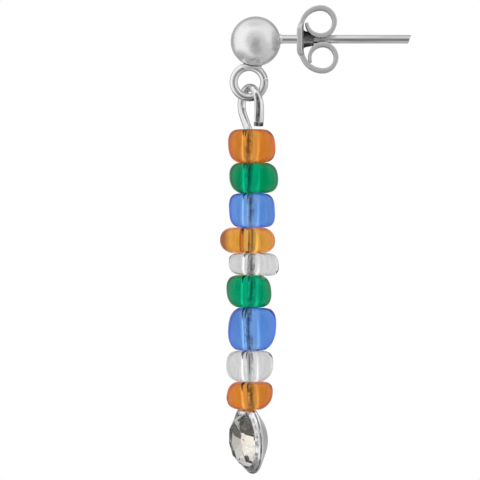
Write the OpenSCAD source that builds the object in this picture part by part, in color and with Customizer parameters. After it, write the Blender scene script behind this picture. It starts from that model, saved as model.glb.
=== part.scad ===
// Drop earring: ball stud with post and clutch, a wire pin of nine glass beads, and a bezel-set round crystal.
// Millimetres, +Z up, +Y back along the post, origin on the post's axis where it leaves the ball.

/* [Stud] */
// Diameter of the polished ball
ball_d = 4.0; // [3:0.1:5]
// How far the ball's middle lies below the post's axis
ball_low = 0.17; // [0:0.01:0.2]
// Diameter of the ear post
post_d = 0.68; // [0.6:0.02:0.8]
// Length of the post behind the ball
post_len = 10.45; // [9:0.05:12]
// Slant of the snipped post end, in degrees
post_cut = 20; // [0:5:30]
// Diameter of the wire in the ring, the eye and the pin
wire_d = 0.65; // [0.6:0.01:0.65]
// Radius of the ring under the ball, to the middle of its wire
ring_r = 1.22; // [1.22:0.01:1.3]
// How far the ring's centre lies in front of the post's root
ring_fwd = 2.53; // [2.5:0.01:2.54]
// How far the ring's centre lies below the post's axis
ring_drop = 3.44; // [3.4:0.01:3.5]
// Width of the saw cut that leaves the ring open
ring_slit = 0.12; // [0.08:0.02:0.2]
// Height of the saw cut above the ring's middle, in degrees
ring_slit_at = 10; // [0:1:30]

/* [Clutch] */
// Gap between the ball and the clutch plate as worn
clutch_gap = 1.47; // [1.2:0.01:6]
// Thickness of the spring strip
strip_t = 0.36; // [0.3:0.02:0.4]
// Width of the plate across the ear
plate_w = 3.8; // [3:0.1:4.5]
// Height of the plate's wide middle
plate_h = 2.6; // [2:0.1:2.8]
// Width of the two curled tongues
tongue_w = 2.6; // [2:0.1:3]
// Radius of the upper curl, to the middle of the strip
curl_up_r = 1.12; // [1:0.01:1.2]
// Radius of the lower curl, to the middle of the strip
curl_low_r = 1.05; // [1:0.01:1.1]
// Running clearance between the post and the clutch, on the radius
post_fit = 0.03; // [0.02:0.01:0.06]
// Length of the drawn collar behind the plate
collar_len = 0.85; // [0.5:0.05:1]

/* [Pin] */
// Radius of the pin's eye, to the middle of its wire
eye_r = 1.30; // [1.3:0.01:1.34]
// Turn of the eye's plane away from straight across, in degrees
eye_turn = 31; // [20:1:31]
// Height the eye hangs clear of the ring's wire
eye_gap = 0.14; // [0.12:0.01:0.16]
// How far the pin hangs in front of the post's root
pin_fwd = 2.45; // [2.45:0.01:2.53]
// Where the long leg leaves the eye, in degrees below its middle
leg_at = 40; // [35:1:45]
// Height of the cut end of the eye's short leg
cut_z = -6.97; // [-7:0.01:-6.2]

/* [Beads] */
// Height of the top of the first bead
beads_z = -7.20; // [-7.3:0.01:-7.15]
// Gap left between neighbouring beads
bead_gap = 0.06; // [0.03:0.01:0.1]
// Diameter of the holes through the beads
hole_d = 1.15; // [1:0.05:1.25]
// Radius of the flame-softened edge at each end of a bead
soft_r = 0.95; // [0.7:0.05:0.95]

/* [Setting] */
// Diameter of the bezel cup
cup_d = 5.76; // [5.5:0.02:6]
// Height of the cup's middle
cup_z = -31.90; // [-32:0.01:-31.8]
// Height of the soldering flat above the cup's middle
flat_h = 2.27; // [2.26:0.01:2.3]
// Turn of the cup's face towards the side, in degrees
cup_turn = 22; // [0:1:45]
// Lean of the cup's face down towards its bottom edge, in degrees
cup_lean = 5; // [0:1:6]
// Depth of the cup behind its rim
cup_depth = 1.10; // [1.08:0.01:1.2]
// Width of the cup's flat back
back_d = 2.62; // [2.4:0.02:2.8]

/* [Crystal] */
// Diameter of the crystal at its girdle
stone_d = 4.50; // [4.4:0.02:4.5]
// Width of the table across its corners
table_d = 3.0; // [2.8:0.1:3.1]
// Slope of the eight main crown facets, in degrees
crown_angle = 52; // [50:1:53]
// Slope of the eight main facets at the back, in degrees
back_angle = 26; // [24:1:27]
// Turn of the facets round the crystal's own axis, in degrees
stone_turn = 8; // [0:1:22]
// Height of the girdle's front edge above the cup's middle
girdle_z = 0.28; // [0.27:0.01:0.29]
// Thickness of the girdle
girdle_t = 0.12; // [0.1:0.01:0.14]
// How far the crystal sits below the cup's middle, to clear the flat
stone_low = 0.13; // [0.12:0.01:0.14]

/* [Hidden] */
$fn = 48;
eps = 0.01;
// lap of one wire length into the next
lap = 0.04;

plate_y = clutch_gap + strip_t / 2;
ring_low = -ring_drop - ring_r;
eye_z = ring_low + wire_d + eye_gap - eye_r;
leg_from = [-eye_r * cos(leg_at), eye_z - eye_r * sin(leg_at)];
leg_to = [0, leg_from[1] - eye_r * cos(leg_at) * cos(leg_at) / sin(leg_at)];
bend_r = 0.5;
bend_t = bend_r * tan(leg_at / 2);
flat_z = cup_z + flat_h;

// one row per bead, top to bottom: space it takes on the pin, diameter, body offset along Y, top radius share,
// bottom radius share, tilt in degrees, colour
BEADS = [
    [2.66, 3.80,  0.13, 1.00, 0.98, -1.0, "#CD782D"],
    [2.46, 3.94,  0.30, 1.00, 1.00, -0.5, "#008C5A"],
    [2.74, 3.68,  0.17, 1.00, 0.99,  0.5, "#5582D2"],
    [2.06, 4.40, -0.20, 1.00, 0.97, -0.5, "#E1A53C"],
    [1.73, 3.97,  0.30, 1.00, 1.00, -2.0, "#D7D7D7"],
    [2.62, 3.59, -0.08, 1.00, 0.95, -0.5, "#008C5A"],
    [3.44, 3.86,  0.16, 1.00, 0.94,  0.0, "#5582D2"],
    [2.48, 3.78, -0.02, 1.00, 0.97,  0.5, "#D7D7D7"],
    [2.22, 3.69, -0.02, 1.00, 0.93,  2.0, "#CD782D"]
];
function space(i) = BEADS[i][0];
function top_z(i) = i == 0 ? beads_z : top_z(i - 1) - space(i - 1);
function arc(c, r, a0, a1, n) = [for (k = [0:n]) let (a = a0 + (a1 - a0) * k / n) c + r * [cos(a), sin(a)]];

// corners of the round brilliant, from the slopes of its main facets
stone_r = stone_d / 2;
table_r = table_d / 2;
half = 22.5;
table_z = girdle_z + (stone_r - table_r) * tan(crown_angle);
star_r = table_r + 0.55 * (stone_r - table_r);
star_z = girdle_z + (stone_r - star_r * cos(half)) * tan(crown_angle);
back_z = girdle_z - girdle_t;
low_r = 0.45 * stone_r;
low_z = back_z - (stone_r - low_r * cos(half)) * tan(back_angle);
culet_z = back_z - (stone_r - 0.35) * tan(back_angle);

module bar(a, b, d) {
    v = b - a;
    translate(a) rotate([0, acos(v[2] / norm(v)), atan2(v[1], v[0])]) cylinder(h = norm(v), d = d);
}

// a strip bent round an arc in the plane seen from the side, its width across the ear
module bend(c, r, a0, a1, t, w) {
    rotate([90, 0, 90]) translate([c[0], c[1], 0]) rotate([0, 0, a0])
        rotate_extrude(angle = a1 - a0, $fn = 96) translate([r - t / 2, -w / 2]) square([t, w]);
}

// polished ball, post and open ring, soldered into one piece
module stud() {
    color("#C8C9CB") union() {
        translate([0, -ball_d / 2, -ball_low]) sphere(d = ball_d, $fn = 96);
        difference() {
            rotate([-90, 0, 0]) translate([0, 0, -0.8]) cylinder(h = post_len + 0.8, d = post_d);
            translate([0, post_len, post_d / 2]) rotate([-post_cut, 0, 0]) translate([-2, 0, -4]) cube([4, 2, 6]);
        }
        // solder run at the post's root
        rotate([-90, 0, 0]) rotate_extrude() difference() {
            translate([0, -0.2]) square([post_d / 2 + 0.15, 0.32]);
            translate([post_d / 2 + 0.15, 0.12]) circle(r = 0.15);
        }
        difference() {
            translate([0, -ring_fwd, -ring_drop]) rotate([90, 0, 90])
                rotate_extrude($fn = 96) translate([ring_r, 0]) circle(d = wire_d);
            translate([0, -ring_fwd, -ring_drop]) rotate([ring_slit_at, 0, 0])
                translate([-1, ring_r - 0.6, -ring_slit / 2]) cube([2, 1.2, ring_slit]);
        }
    }
}

// butterfly clutch bent from one strip, with a drawn collar and two curls that grip the post
module clutch() {
    up = [clutch_gap + 1.72, 1.38];
    low = [clutch_gap + 1.91, -1.48];
    lead_up = up[0] - plate_y;
    lead_low = low[0] - plate_y;
    lead_up_z = up[1] + curl_up_r - lead_up;
    lead_low_z = low[1] - curl_low_r + lead_low;
    color("#BFC0C2") difference() {
        union() {
            translate([-tongue_w / 2, clutch_gap, lead_low_z]) cube([tongue_w, strip_t, lead_up_z - lead_low_z]);
            translate([0, clutch_gap, 0]) rotate([-90, 0, 0]) linear_extrude(strip_t) union() {
                square([plate_w, plate_h - 1.2], center = true);
                square([plate_w - 1.2, plate_h], center = true);
                for (x = [-1, 1], z = [-1, 1]) translate([x * (plate_w / 2 - 0.6), z * (plate_h / 2 - 0.6)]) circle(r = 0.6);
            }
            bend([up[0], lead_up_z], lead_up, 90, 180, strip_t, tongue_w);
            bend(up, curl_up_r, -175, 90, strip_t, tongue_w);
            bend([low[0], lead_low_z], lead_low, 180, 270, strip_t, tongue_w);
            bend(low, curl_low_r, -90, 188, strip_t, tongue_w);
            translate([0, clutch_gap + strip_t - eps, 0]) rotate([-90, 0, 0])
                cylinder(h = collar_len, r1 = 0.68, r2 = 0.50);
        }
        rotate([-90, 0, 0]) translate([0, 0, clutch_gap - 1]) cylinder(h = 6, r = post_d / 2 + post_fit);
    }
}

// eye, pin and bezel cup, soldered into one piece
module drop_pin() {
    color("#C4C5C8") union() {
        translate([0, -pin_fwd, 0]) rotate([0, 0, eye_turn]) {
            translate([0, 0, eye_z]) rotate([90, 0, 0]) rotate_extrude(angle = 180 + leg_at, $fn = 96)
                translate([eye_r, 0]) circle(d = wire_d);
            bar([eye_r, 0, eye_z + lap], [eye_r, 0, cut_z], wire_d + 2 * eps);
            bar([leg_from[0] - lap * sin(leg_at), 0, leg_from[1] + lap * cos(leg_at)],
                [leg_to[0] + (lap - bend_t) * sin(leg_at), 0, leg_to[1] - (lap - bend_t) * cos(leg_at)], wire_d + 2 * eps);
            translate([-bend_r, 0, leg_to[1] - bend_t]) rotate([90, 0, 0]) rotate_extrude(angle = leg_at, $fn = 96)
                translate([bend_r, 0]) circle(d = wire_d);
        }
        translate([0, -pin_fwd, flat_z - 0.06]) cylinder(h = leg_to[1] - bend_t + lap - flat_z + 0.06, d = wire_d + 2 * eps);
        cup();
    }
}

module cup() {
    r = cup_d / 2;
    inner = stone_r + 0.03;
    difference() {
        translate([0, -pin_fwd, cup_z]) rotate([90 + cup_lean, 0, cup_turn]) difference() {
            rotate_extrude($fn = 96) polygon([
                [0, -cup_depth], [back_d / 2 - 0.3, -cup_depth + 0.01], [back_d / 2 + 0.02, -cup_depth + 0.10],
                [r - 0.10, 0.03], [r, 0.12], [r - 0.05, 0.20], [r - 0.20, 0.25], [r - 0.32, 0.31],
                [r - 0.42, 0.42], [r - 0.52, 0.49], [r - 0.66, 0.49], [r - 0.8, 0], [0, 0]]);
            // seat for the crystal, which clears it everywhere by a foil's thickness
            translate([0, -stone_low, 0]) rotate_extrude($fn = 96) polygon([
                [0, culet_z - 0.06], [0.36, culet_z - 0.06], [inner, back_z - 0.07], [inner, girdle_z + 0.05],
                [stone_r - 0.06, girdle_z + 0.17], [stone_r - 0.06, 1], [0, 1]]);
        }
        // flat filed on the rim, where the pin is soldered and the last bead rests
        translate([-4, -pin_fwd - 4, flat_z]) cube([8, 8, 2]);
    }
}

// n corners round the axis, the first at the angle start
function ring(n, start, r, z) = [for (k = [0:n - 1]) let (a = start + k * 360 / n) [r * cos(a), r * sin(a), z]];

// round brilliant, the hull of its corners: table, 8 star, 8 main and 16 upper facets, girdle, and 16 lower and
// 8 main facets behind
module crystal() {
    corners = concat(ring(8, 0, table_r, table_z), ring(8, half, star_r, star_z), ring(16, 0, stone_r, girdle_z),
        ring(16, 0, stone_r, back_z), ring(8, half, low_r, low_z), ring(8, half, 0.35 / cos(half), culet_z));
    color("#E1E1D7") translate([0, -pin_fwd, cup_z]) rotate([90 + cup_lean, 0, cup_turn])
        translate([0, -stone_low, 0]) rotate([0, 0, stone_turn])
        hull() polyhedron(corners, [[for (i = [0:len(corners) - 1]) i]]);
}

// lampworked glass bead: soft-edged barrel, a little off its own hole
module bead(i) {
    b = BEADS[i];
    h = b[0] - bead_gap;
    rt = b[1] / 2 * b[3];
    rb = b[1] / 2 * b[4];
    s = min(soft_r, h / 2 - 0.05);
    color(b[6]) translate([0, -pin_fwd, top_z(i) - b[0] / 2]) difference() {
        translate([0, b[2], 0]) rotate([b[5], 0, 0]) rotate_extrude($fn = 72) polygon(concat(
            [[0, -h / 2]], arc([rb - s, s - h / 2], s, -90, 0, 7), arc([rt - s, h / 2 - s], s, 0, 90, 7), [[0, h / 2]]));
        translate([0, b[2] / 2, -3]) cylinder(h = 6, d = hole_d);
    }
}
module bead_1() { bead(0); }
module bead_2() { bead(1); }
module bead_3() { bead(2); }
module bead_4() { bead(3); }
module bead_5() { bead(4); }
module bead_6() { bead(5); }
module bead_7() { bead(6); }
module bead_8() { bead(7); }
module bead_9() { bead(8); }

stud();
clutch();
drop_pin();
crystal();
bead_1();
bead_2();
bead_3();
bead_4();
bead_5();
bead_6();
bead_7();
bead_8();
bead_9();
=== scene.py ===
# %% [markdown]
# # A drop earring: polished silver, wound glass and a cut crystal
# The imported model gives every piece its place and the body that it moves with. Each piece is worked out
# again here as a fine, smooth surface, because polished metal and clear glass show the smallest flat. A new
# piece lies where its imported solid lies, and stands for it.

# %% Load the frame
import itertools
import bpy
import numpy as np
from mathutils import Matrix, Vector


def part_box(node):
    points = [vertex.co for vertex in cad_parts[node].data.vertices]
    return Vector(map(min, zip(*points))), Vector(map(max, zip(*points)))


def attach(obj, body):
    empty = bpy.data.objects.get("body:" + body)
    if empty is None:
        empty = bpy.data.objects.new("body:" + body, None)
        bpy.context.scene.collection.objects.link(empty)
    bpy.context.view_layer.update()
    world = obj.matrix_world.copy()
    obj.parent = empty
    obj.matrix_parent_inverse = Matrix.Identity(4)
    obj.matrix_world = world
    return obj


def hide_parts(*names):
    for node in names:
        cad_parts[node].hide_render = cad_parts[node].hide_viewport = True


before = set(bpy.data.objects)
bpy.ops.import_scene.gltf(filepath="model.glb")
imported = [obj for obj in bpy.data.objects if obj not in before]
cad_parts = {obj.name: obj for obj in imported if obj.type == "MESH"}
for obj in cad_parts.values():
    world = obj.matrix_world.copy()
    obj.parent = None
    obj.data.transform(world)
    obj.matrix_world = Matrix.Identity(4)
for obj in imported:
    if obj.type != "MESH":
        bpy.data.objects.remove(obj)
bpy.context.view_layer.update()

MM = 0.001

# %% [markdown]
# ## Colours
# A colour is easiest to judge as the hex value that a screen shows, but light adds up in linear numbers.
# Those could be typed in, but nobody could read them, so one function turns the first into the second.

# %% Colours


def linear(code):
    """Hex (sRGB) to linear RGBA: ((c + 0.055) / 1.055) ** 2.4 a channel, or c / 12.92 where it is dark."""
    c = np.array([int(code[i:i + 2], 16) for i in (1, 3, 5)]) / 255
    low, high = c / 12.92, ((c + 0.055) / 1.055) ** 2.4
    return (*np.where(c <= 0.04045, low, high), 1.0)


print("the screen's middle grey #808080 is", round(linear("#808080")[0], 3), "in linear light")

# %% [markdown]
# ## Nodes
# A material is a small graph. It could be wired by hand in the shader editor, but code can be read and
# compared. One small function adds a node with its settings and links, so a material is a short list of
# what its surface is made of.

# %% Nodes


def add(tree, kind, settings=(), links=()):
    """One new node, of a kind named without the ShaderNode before it. settings holds its properties, its
    constant sockets and a ramp's stops, as (place, grey or colour). links holds the sockets that other nodes
    feed. A Mix node's sockets share their names, so they go by number: 0 is the factor, 6 and 7 are the two
    colours, and output 2 is what they make."""
    made = tree.nodes.new("ShaderNode" + kind)
    for key, value in dict(settings).items():
        if key == "stops":
            while len(made.color_ramp.elements) < len(value):
                made.color_ramp.elements.new(0.5)
            for element, (place, colour) in zip(made.color_ramp.elements, value):
                element.position = place
                element.color = colour if hasattr(colour, "__len__") else (colour, colour, colour, 1)
        elif isinstance(key, str) and hasattr(made, key):
            setattr(made, key, value)
        else:
            made.inputs[key].default_value = value
    for key, output in dict(links).items():
        tree.links.new(output, made.inputs[key])
    return made


def blank(name):
    """An empty node material, its tree and its output node."""
    material = bpy.data.materials.new(name)
    material.use_nodes = True
    material.node_tree.nodes.clear()
    return material, material.node_tree, add(material.node_tree, "OutputMaterial")


# %% [markdown]
# ## Dull places and painted dark
# Polish doesn't reach into a groove, a seam or a bead's hole, and the plate turns brown and then black
# there. That could be painted, but the places follow from the shape. So each point carries a number in an
# attribute, and a noise breaks its edge into ragged spots. The same brown and black also paint shade behind
# the clutch's plate and on the setting's lip and rim groove, and a dark reflected line down the pin's groove.

# %% Oxide and painted dark
# brown and black: oxide in hollows, and also painted shade and a painted dark reflection
OXIDE_AND_PAINTED_DARK, BLACKENED_AND_PAINTED_DARK = "#84817E", "#343230"
DEEP = 2.2


def dulled_and_painted_dark(tree, colour, place, scale):
    """Oxide, and painted shade, over a colour: the mark * (4 * noise - 1) turns it brown from 0.4 to 0.9,
    black from 1.9 to 2.7.
    """
    dull = add(tree, "Attribute", {"attribute_name": "dull"}).outputs["Fac"]
    grain = add(tree, "TexNoise", {"Scale": scale, "Detail": 3.0, "Roughness": 0.7},
                {"Vector": place}).outputs["Fac"]
    ragged = add(tree, "Math", {"operation": "MULTIPLY_ADD", 1: 4.0, 2: -1.0}, {0: grain})
    share = add(tree, "Math", {"operation": "MULTIPLY"}, {0: dull, 1: ragged.outputs[0]}).outputs[0]
    for start, full, stain in ((0.4, 0.9, OXIDE_AND_PAINTED_DARK), (1.9, 2.7, BLACKENED_AND_PAINTED_DARK)):
        reach = add(tree, "MapRange", {"From Min": start, "From Max": full}, {"Value": share})
        stained = add(tree, "Mix", {"data_type": "RGBA", 7: linear(stain)},
                      {0: reach.outputs["Result"], 6: colour})
        colour = stained.outputs[2]
    return colour


print("a mark of 1 turns brown in spots, one of", DEEP, "turns black in spots")

# %% [markdown]
# ## Silver
# Everything of metal here is brass with a bright silver plate, and its finish is what the eye sees.
# Tumbling with steel shot leaves no brush marks, but a haze that comes and goes and a faint orange peel:
# roughness and colour follow a soft noise, and the bump a finer one. It also leaves tiny dents that scatter
# part of the light, which a metal share of 0.65 stands for. Wire keeps the fine lines of the die it was
# drawn through, so its noise is stretched along the attribute strand. Real die lines are a few hundredths
# of a millimetre apart, and are drawn coarser here so that they show.

# %% Silver finishes
SILVER, SHADED = "#E7E7E8", "#C4C4C4"
SPOT_MM, HAZE_TO_PEEL = 0.5, 0.4
DIE_LINES, DIE_SPOTS = (3.0, 3.0, 0.35), (0.6, 0.6, 2.2)


def silver(name, rough, peel_depth, peel_mm=None, bright=SILVER, tarnish=SHADED, metal=1.0):
    """Silver plate of a mean roughness, with orange peel peel_mm wide or else with lines along strand, both
    peel_depth mm deep. The haze mixes from tarnish to bright, and makes bright places rougher."""
    material, tree, out = blank(name)
    if peel_mm:
        place = spots = add(tree, "TexCoord").outputs["Object"]
        scale, spot_scale = 1 / (peel_mm * MM), 1 / (SPOT_MM * MM)
    else:
        strand = add(tree, "Attribute", {"attribute_name": "strand"}).outputs["Vector"]
        place = add(tree, "Mapping", {"Scale": DIE_LINES}, {"Vector": strand}).outputs["Vector"]
        spots = add(tree, "Mapping", {"Scale": DIE_SPOTS}, {"Vector": strand}).outputs["Vector"]
        scale = spot_scale = 1.0
    haze = add(tree, "TexNoise", {"Scale": scale * HAZE_TO_PEEL, "Detail": 3.0, "Roughness": 0.6},
               {"Vector": place}).outputs["Fac"]
    peel = add(tree, "TexNoise", {"Scale": scale, "Detail": 2.0}, {"Vector": place}).outputs["Fac"]
    bump = add(tree, "Bump", {"Strength": 1.0, "Distance": peel_depth * MM}, {"Height": peel})
    shades = [(0.3, linear(tarnish)), (0.55, linear(bright))]
    colour = add(tree, "ValToRGB", {"stops": shades}, {"Fac": haze}).outputs["Color"]
    roughness = add(tree, "MapRange", {"To Min": rough * 0.75, "To Max": rough * 1.3},
                    {"Value": haze})
    shader = add(tree, "BsdfPrincipled", {"Metallic": metal}, {
        "Base Color": dulled_and_painted_dark(tree, colour, spots, spot_scale),
        "Roughness": roughness.outputs["Result"], "Normal": bump.outputs["Normal"]})
    tree.links.new(shader.outputs["BSDF"], out.inputs["Surface"])
    print(f"{name}: roughness {rough}")
    return material


# tumbled with shot: soft, broad highlights under a fine haze, between mirror and satin
barrel_silver = silver("silver_plate_barrel_polished", 0.24, 0.004, 0.5, "#E6E6E7", "#D0D0D0", metal=0.65)
# spun from sheet and burnished: nearly a mirror, with slow waves in it
spun_silver = silver("silver_plate_spun_and_burnished", 0.12, 0.006, 0.9)
# drawn through a die, then plated: crisp long highlights that a few fine lines break
drawn_silver = silver("silver_plated_wire_drawn", 0.12, 0.006)
# rolled and stamped: satin and a little grey, so nothing is mirrored clearly
rolled_silver = silver("silver_plated_strip_rolled_and_stamped", 0.5, 0.006, None, "#E6E6E7", "#B8B8B8")

# %% [markdown]
# ## Surfaces from grids
# Wire, turned cups and beads are all rings of points: a profile carried round an axis or along a path.
# Curves and the Screw modifier could make most of them, but in a grid worked out by numpy each ring can be
# shaped on its own. One function joins the rings and closes the ends, so every piece is a closed skin. The
# sign of its volume says whether its faces look outwards.

# %% Skins


def outward(points, faces):
    """Turns the faces over if the skin's volume, the sum of a . (b x c) / 6 over triangles, is negative."""
    fan = np.array([(f[0], f[i], f[i + 1]) for f in faces for i in range(1, len(f) - 1)])
    a, b, c = points[fan[:, 0]], points[fan[:, 1]], points[fan[:, 2]]
    if np.einsum("ij,ij->i", a, np.cross(b, c)).sum() < 0:
        faces[:] = [f[::-1] for f in faces]
    return points


def skin(grid, ends=None, strand=None):
    """Points, faces and pattern coordinates of a grid (rings, points round, xyz), in mm.
    Each ring closes on itself and joins the next. Without ends the last ring joins the first, as on a torus;
    ends are the two points that close the first and the last ring."""
    rings, around, _ = grid.shape
    rows = np.arange(rings if ends is None else rings - 1)
    r, c = np.meshgrid(rows, np.arange(around), indexing="ij")
    r2, c2 = (r + 1) % rings, (c + 1) % around
    quads = np.stack([r * around + c, r * around + c2, r2 * around + c2, r2 * around + c], -1).reshape(-1, 4)
    strand = grid if strand is None else strand
    points, pattern, faces = grid.reshape(-1, 3), strand.reshape(-1, 3), quads.tolist()
    if ends is not None:
        turn = np.arange(around)
        step, last, first_end = np.roll(turn, -1), (rings - 1) * around, len(points)
        faces += np.stack([np.full(around, first_end), step, turn], 1).tolist()
        faces += np.stack([np.full(around, first_end + 1), last + turn, last + step], 1).tolist()
        points = np.vstack([points, np.array(ends, float)])
        pattern = np.vstack([pattern, strand[0].mean(0), strand[-1].mean(0)])
    return outward(points, faces), faces, pattern


# %% [markdown]
# ## From skin to piece
# A piece needs a mesh, a finish, the body that it rides on and the imported solids that it stands for.
# One function does it all, so nothing is left out. Shading is smooth, with a crisp edge where two faces meet
# at more than a given angle.

# %% Pieces


def build(name, surface, material, body, slot, nodes, sharp=35, **marks):
    """One piece from a skin. Edges over sharp degrees stay crisp. Each mark holds a number for every point,
    which the material reads by the mark's name."""
    points, faces, pattern = surface
    mesh = bpy.data.meshes.new(name)
    mesh.from_pydata((points * MM).tolist(), [], faces)
    strand = mesh.attributes.new("strand", "FLOAT_VECTOR", "POINT")
    strand.data.foreach_set("vector", pattern.astype(np.float32).ravel())
    for mark, value in marks.items():
        mesh.attributes.new(mark, "FLOAT", "POINT").data.foreach_set("value", value.astype(np.float32))
    mesh.polygons.foreach_set("use_smooth", np.ones(len(faces), bool))
    mesh.set_sharp_from_angle(angle=np.radians(sharp))
    mesh.materials.append(material)
    piece = bpy.data.objects.new(name, mesh)
    bpy.context.scene.collection.objects.link(piece)
    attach(piece, body)
    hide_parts(*nodes)
    print(f"{name}: {len(points)} points, {np.round(points.min(0), 2)} to {np.round(points.max(0), 2)} mm")
    return piece


# %% [markdown]
# ## The ball
# The front of the stud is a 4 mm ball, hollow-formed and polished. A stock sphere would do, but turning a
# half circle round the post's axis puts one of its two pinched poles under the post. Below, where the ring
# is soldered on, black oxide follows the solder's edge. The solder is egg-shaped, and its size and place
# are needed here already.

# %% Ball
BALL_R, BALL_LOW = 2.0, 0.17
BALL_AT = np.array([0, -BALL_R, -BALL_LOW])
EGG, EGG_AT, SEAM = np.array([0.42, 0.95, 0.3]), np.array([0, -2.45, -2.2]), 0.16


def arc(centre, radius, start, end, steps):
    """Points on a circle arc in a plane, from start to end degrees."""
    a = np.radians(np.linspace(start, end, steps))
    return np.array(centre) + radius * np.stack([np.cos(a), np.sin(a)], 1)


def turned(profile, around):
    """A profile of (radius, height) rows turned round the Z axis: point = (r cos a, r sin a, z)."""
    a = np.linspace(0, 2 * np.pi, around, endpoint=False)
    r, z = profile[:, :1], profile[:, 1:]
    return np.stack(np.broadcast_arrays(r * np.cos(a), r * np.sin(a), z), -1)


def along_post(grid):
    """Lays a thing turned round Z down along the post: (x, y, z) goes to (x, z, -y)."""
    return np.stack([grid[..., 0], grid[..., 2], -grid[..., 1]], -1)


def seam(points):
    """How near points lie to the solder's edge: 1 - | |(p - middle) / half sizes| - 1 | / SEAM, or 0."""
    return np.clip(1 - np.abs(np.linalg.norm((points - EGG_AT) / EGG, axis=-1) - 1) / SEAM, 0, 1)


ball = along_post(turned(arc((0, 0), BALL_R, -89, 89, 145), 192)) + BALL_AT
ball_ends = BALL_AT + [[0, -BALL_R, 0], [0, BALL_R, 0]]
ball_dull = np.append(DEEP * seam(ball).ravel(), [0, 0])
ball_skin = skin(ball, ball_ends)
build("stud_ball", ball_skin, barrel_silver, "stud", "polished_silver", ["stud"], dull=ball_dull)

# %% [markdown]
# ## The post
# The post goes through the ear. It is drawn wire, soldered to the ball with a small flare, and its end is
# snipped at a slant. A cut cylinder would lack the flare, so a profile of many rings is turned, and the
# last two rings lean by the slant. The last one is a little smaller, for the worn edge of the cut.

# %% Post
POST_R, POST_LEN, POST_CUT, POST_IN = 0.34, 10.45, np.tan(np.radians(20)), 0.3
FLARE, FLARE_L, FLARE_FROM, FLARE_CURVE = 0.07, 0.3, -0.02, 2.5
EDGE_L, EDGE_SHARE, POST_AROUND = 0.04, 0.9, 48

y = np.concatenate([[-POST_IN], np.linspace(FLARE_FROM, 0.3, 12), np.linspace(0.6, POST_LEN - 0.6, 40),
                    [POST_LEN - EDGE_L, POST_LEN]])
flare = FLARE * np.clip(1 - (y - FLARE_FROM) / FLARE_L, 0, 1) ** FLARE_CURVE
post = along_post(turned(np.stack([POST_R + flare, y], 1), POST_AROUND))
post[-1] = (post[-1] - [0, POST_LEN, 0]) * EDGE_SHARE + [0, POST_LEN, 0]
post[-2:, :, 1] -= (POST_R - post[-2:, :, 2]) * POST_CUT
turn = np.linspace(0, 2 * np.pi, POST_AROUND, endpoint=False)
post_strand = np.stack(np.broadcast_arrays(np.cos(turn), np.sin(turn), y[:, None]), -1)
post_skin = skin(post, [[0, y[0], 0], post[-1].mean(0)], post_strand)
build("stud_post", post_skin, drawn_silver, "stud", "polished_silver", ["stud"])

# %% [markdown]
# ## Wire
# The ring, the eye and the pin are round wire of 0.65 mm. A curve with a bevel makes wire in one step, but
# then pliers' marks, cut ends and a pattern along it are hard to add. So the wire is a grid too: rings that
# stand square to a path, evenly spaced along it.

# %% Wire
WIRE_R, WIRE_GAP, PRESS_THIN = 0.325, 0.12, 0.7


def even(path, gap):
    """The same path with a point about every gap mm, and each point's distance along it."""
    length = np.concatenate([[0], np.cumsum(np.linalg.norm(np.diff(path, axis=0), axis=1))])
    s = np.linspace(0, length[-1], int(length[-1] / gap) + 2)
    return np.stack([np.interp(s, length, path[:, k]) for k in range(path.shape[1])], 1), s


def burr(grid, path, edge=0.93):
    """Draws the first and last ring in a little, so that a cut end has a worn edge and not a knife edge."""
    grid[[0, -1]] = path[[0, -1], None] + edge * (grid[[0, -1]] - path[[0, -1], None])
    return grid


def wire(path, side, around=32, press=None, dent=None):
    """Wire along a path near a plane of normal side. With across = tangent x side, up = across x tangent,
    point = path + WIRE_R * ((1 + spread) cos a * up + (1 - PRESS_THIN * spread) sin a * across).
    press(distance) is the share by which pliers spread it, 0 on round wire. dent(points, path, distance)
    is the share of its radius that they took away. strand is (cos a, sin a, distance)."""
    path, s = even(path, WIRE_GAP)
    tangent = np.gradient(path, axis=0)
    tangent /= np.linalg.norm(tangent, axis=1)[:, None]
    across = np.cross(tangent, side)
    across /= np.linalg.norm(across, axis=1)[:, None]
    up = np.cross(across, tangent)
    a = np.linspace(0, 2 * np.pi, around, endpoint=False)[None, :, None]
    spread = (press(s) if press else 0 * s)[:, None, None]
    wide, thin = (1 + spread) * np.cos(a), (1 - PRESS_THIN * spread) * np.sin(a)
    grid = path[:, None] + WIRE_R * (wide * up[:, None] + thin * across[:, None])
    if dent:
        grid -= dent(grid, path, s)[..., None] * (grid - path[:, None])
    strand = np.stack(np.broadcast_arrays(np.cos(a[..., 0]), np.sin(a[..., 0]), s[:, None]), -1)
    return skin(burr(grid, path), [path[0], path[-1]], strand)


# %% [markdown]
# ## The ring and its solder
# The drop hangs in an open ring of wire below the ball. Its sawn ends were pushed together, so only a fine
# line is left: the path is an arc that stops just short of a full turn. Where the ring meets the ball,
# solder ran into the corner and set as a small saddle, black at its edge. An egg-shaped lump that lies
# mostly inside both is enough, because only its waist shows.

# %% Ring and solder
RING_R, RING_AT = 1.22, np.array([0, -2.53, -3.44])
RING_SLIT, RING_SLIT_AT = 0.008, 12
SEAM_L = 0.1

slit = np.degrees(RING_SLIT / RING_R)
circle = arc((0, 0), RING_R, RING_SLIT_AT + slit, 360 + RING_SLIT_AT - slit, 160)
ring = np.column_stack([np.zeros(len(circle)), circle]) + RING_AT
ring_skin = wire(ring, np.array([1.0, 0, 0]))
build("stud_ring", ring_skin, drawn_silver, "stud", "polished_silver", ["stud"])

egg = turned(arc((0, 0), 1.0, -88, 88, 65), 96) * EGG + EGG_AT
egg_ends = EGG_AT + [[0, 0, -EGG[2]], [0, 0, EGG[2]]]
from_ball = np.abs(np.linalg.norm(egg - BALL_AT, axis=-1) - BALL_R)
egg_dull = np.append(DEEP * np.clip(1 - from_ball / SEAM_L, 0, 1).ravel(), [0, 0])
build("stud_solder", skin(egg, egg_ends), barrel_silver, "stud", "polished_silver", ["stud"], dull=egg_dull)

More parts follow.
